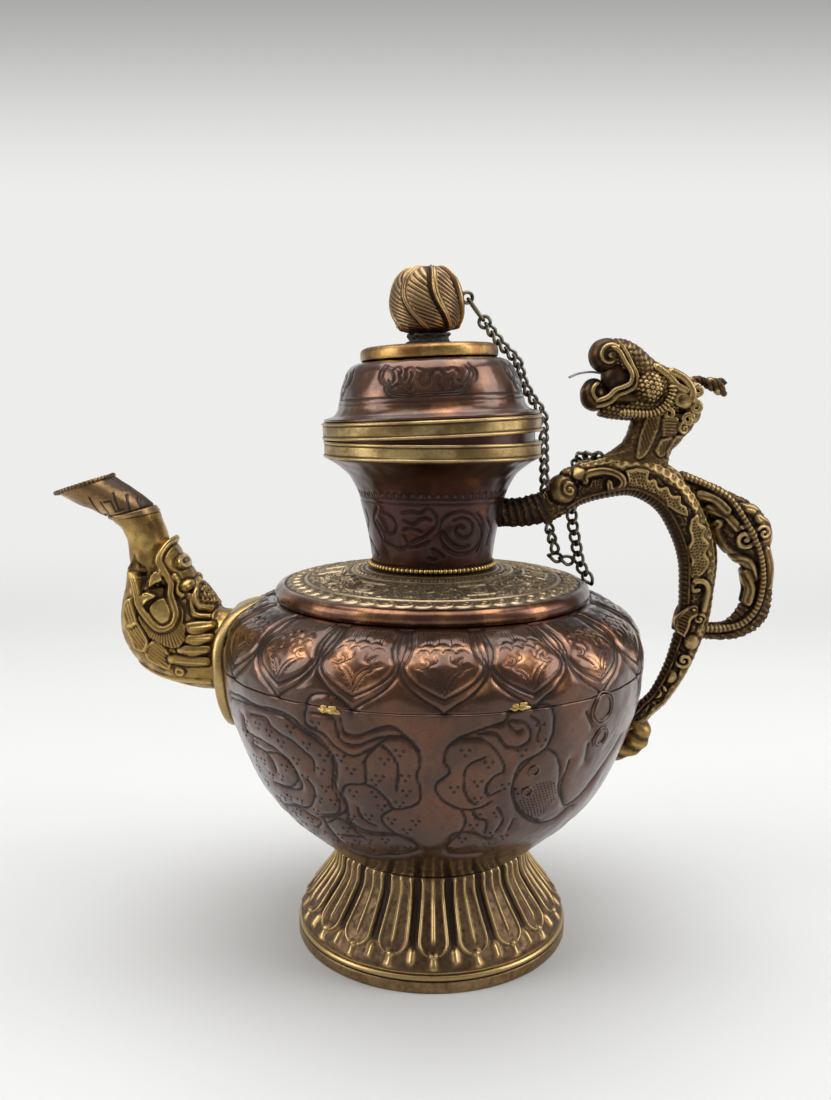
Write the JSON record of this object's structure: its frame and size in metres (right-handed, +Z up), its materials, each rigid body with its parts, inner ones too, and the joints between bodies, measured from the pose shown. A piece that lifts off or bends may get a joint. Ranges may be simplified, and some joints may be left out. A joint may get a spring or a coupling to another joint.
{
  "type": "tibetan ewer",
  "caption": "Copper and brass ewer on a lotus foot, with a makara spout, a dragon handle and a chained domed lid.",
  "frame": {"origin": "on the standing plane, under the middle of the box round the whole ewer; the vessel axis stands 7.4 mm towards the handle", "axes": "+Z up, +X from the spout to the handle, +Y away from the viewer of the picture"},
  "size_m": [0.3376, 0.1982, 0.317],
  "materials": {
    "brass_foot": "aged cast brass with raised petals, brighter on the high parts",
    "copper_body": "dark reddish-brown patinated copper with a violet-grey sheen and engraved lines",
    "copper_bright": "polished orange copper, browned in the corners",
    "brass_disc": "aged brass with chased leaf relief and plain circles",
    "brass_bands": "yellowish aged brass with turned ridges",
    "brass_dark": "dark tarnished metal",
    "green_stem": "brass with green corrosion",
    "brass_bud": "dark aged brass with feathered hatching",
    "brass_spout": "golden aged cast brass with dark recesses",
    "brass_tip": "greyer aged brass with an engraved fret",
    "bronze_handle": "dark bronze-toned brass, punched and chased, worn bright on the edges",
    "bronze_dragon": "dark bronze-toned brass with scales and curls",
    "silver_strip": "flat grey metal strip",
    "dark_twist": "nearly black twisted casting",
    "chain_metal": "dull dark wire, brassy where it rubs"
  },
  "bodies": {
    "vessel": {"foot_rim": "brass_foot", "foot_skirt": "brass_foot", "body_bowl": "copper_body", "body_shoulder": "copper_body", "neck": "copper_body", "shoulder_collar": "copper_bright", "shoulder_disc": "brass_disc", "neck_bead_ring": "brass_disc", "mouth_band": "brass_bands", "handle_eye": "brass_bud", "spout_flange": "brass_spout", "spout_head": "brass_spout", "spout_tube": "brass_spout", "spout_tip": "brass_tip", "handle_body": "bronze_handle", "tail_scroll": "bronze_handle", "handle_scroll_foot": "bronze_handle", "dragon_head": "bronze_dragon", "dragon_tongue": "silver_strip", "dragon_tuft": "dark_twist", "chain_lower_01": "chain_metal", "chain_lower_02": "chain_metal"},
    "lid": {"lid_band": "brass_bands", "lid_sleeve": "brass_dark", "lid_dome": "copper_body", "lid_cap": "brass_bands", "finial_stem": "green_stem", "finial_bud": "brass_bud", "finial_eye": "brass_bud"},
    "chain_upper": {"chain_long_link": "chain_metal", "chain_ring": "chain_metal", "chain_upper_01": "chain_metal", "chain_upper_02": "chain_metal", "chain_upper_03": "chain_metal", "chain_upper_04": "chain_metal", "chain_upper_05": "chain_metal", "chain_upper_06": "chain_metal", "chain_upper_07": "chain_metal", "chain_upper_08": "chain_metal", "chain_upper_09": "chain_metal", "chain_upper_10": "chain_metal", "chain_upper_11": "chain_metal", "chain_upper_12": "chain_metal"},
    "chain_lower": {"chain_lower_03": "chain_metal", "chain_lower_04": "chain_metal", "chain_lower_05": "chain_metal", "chain_lower_06": "chain_metal", "chain_lower_07": "chain_metal", "chain_loop_01": "chain_metal"}
  },
  "joints": [
    {"name": "lid_lift", "type": "slide", "parent": "vessel", "child": "lid", "axis": [0, 0, 1], "range_m": [0, 0.04]},
    {"name": "upper_strand_swing", "type": "hinge", "parent": "lid", "child": "chain_upper", "pos_m": [0.02452, 0.00022, 0.30125], "axis": [0.7982, 0, 0.6024], "range_deg": [0, 20]},
    {"name": "lower_strand_swing", "type": "hinge", "parent": "vessel", "child": "chain_lower", "pos_m": [0.07509, 0.01184, 0.21959], "axis": [1, 0, 0], "range_deg": [0, 25]}
  ]
}
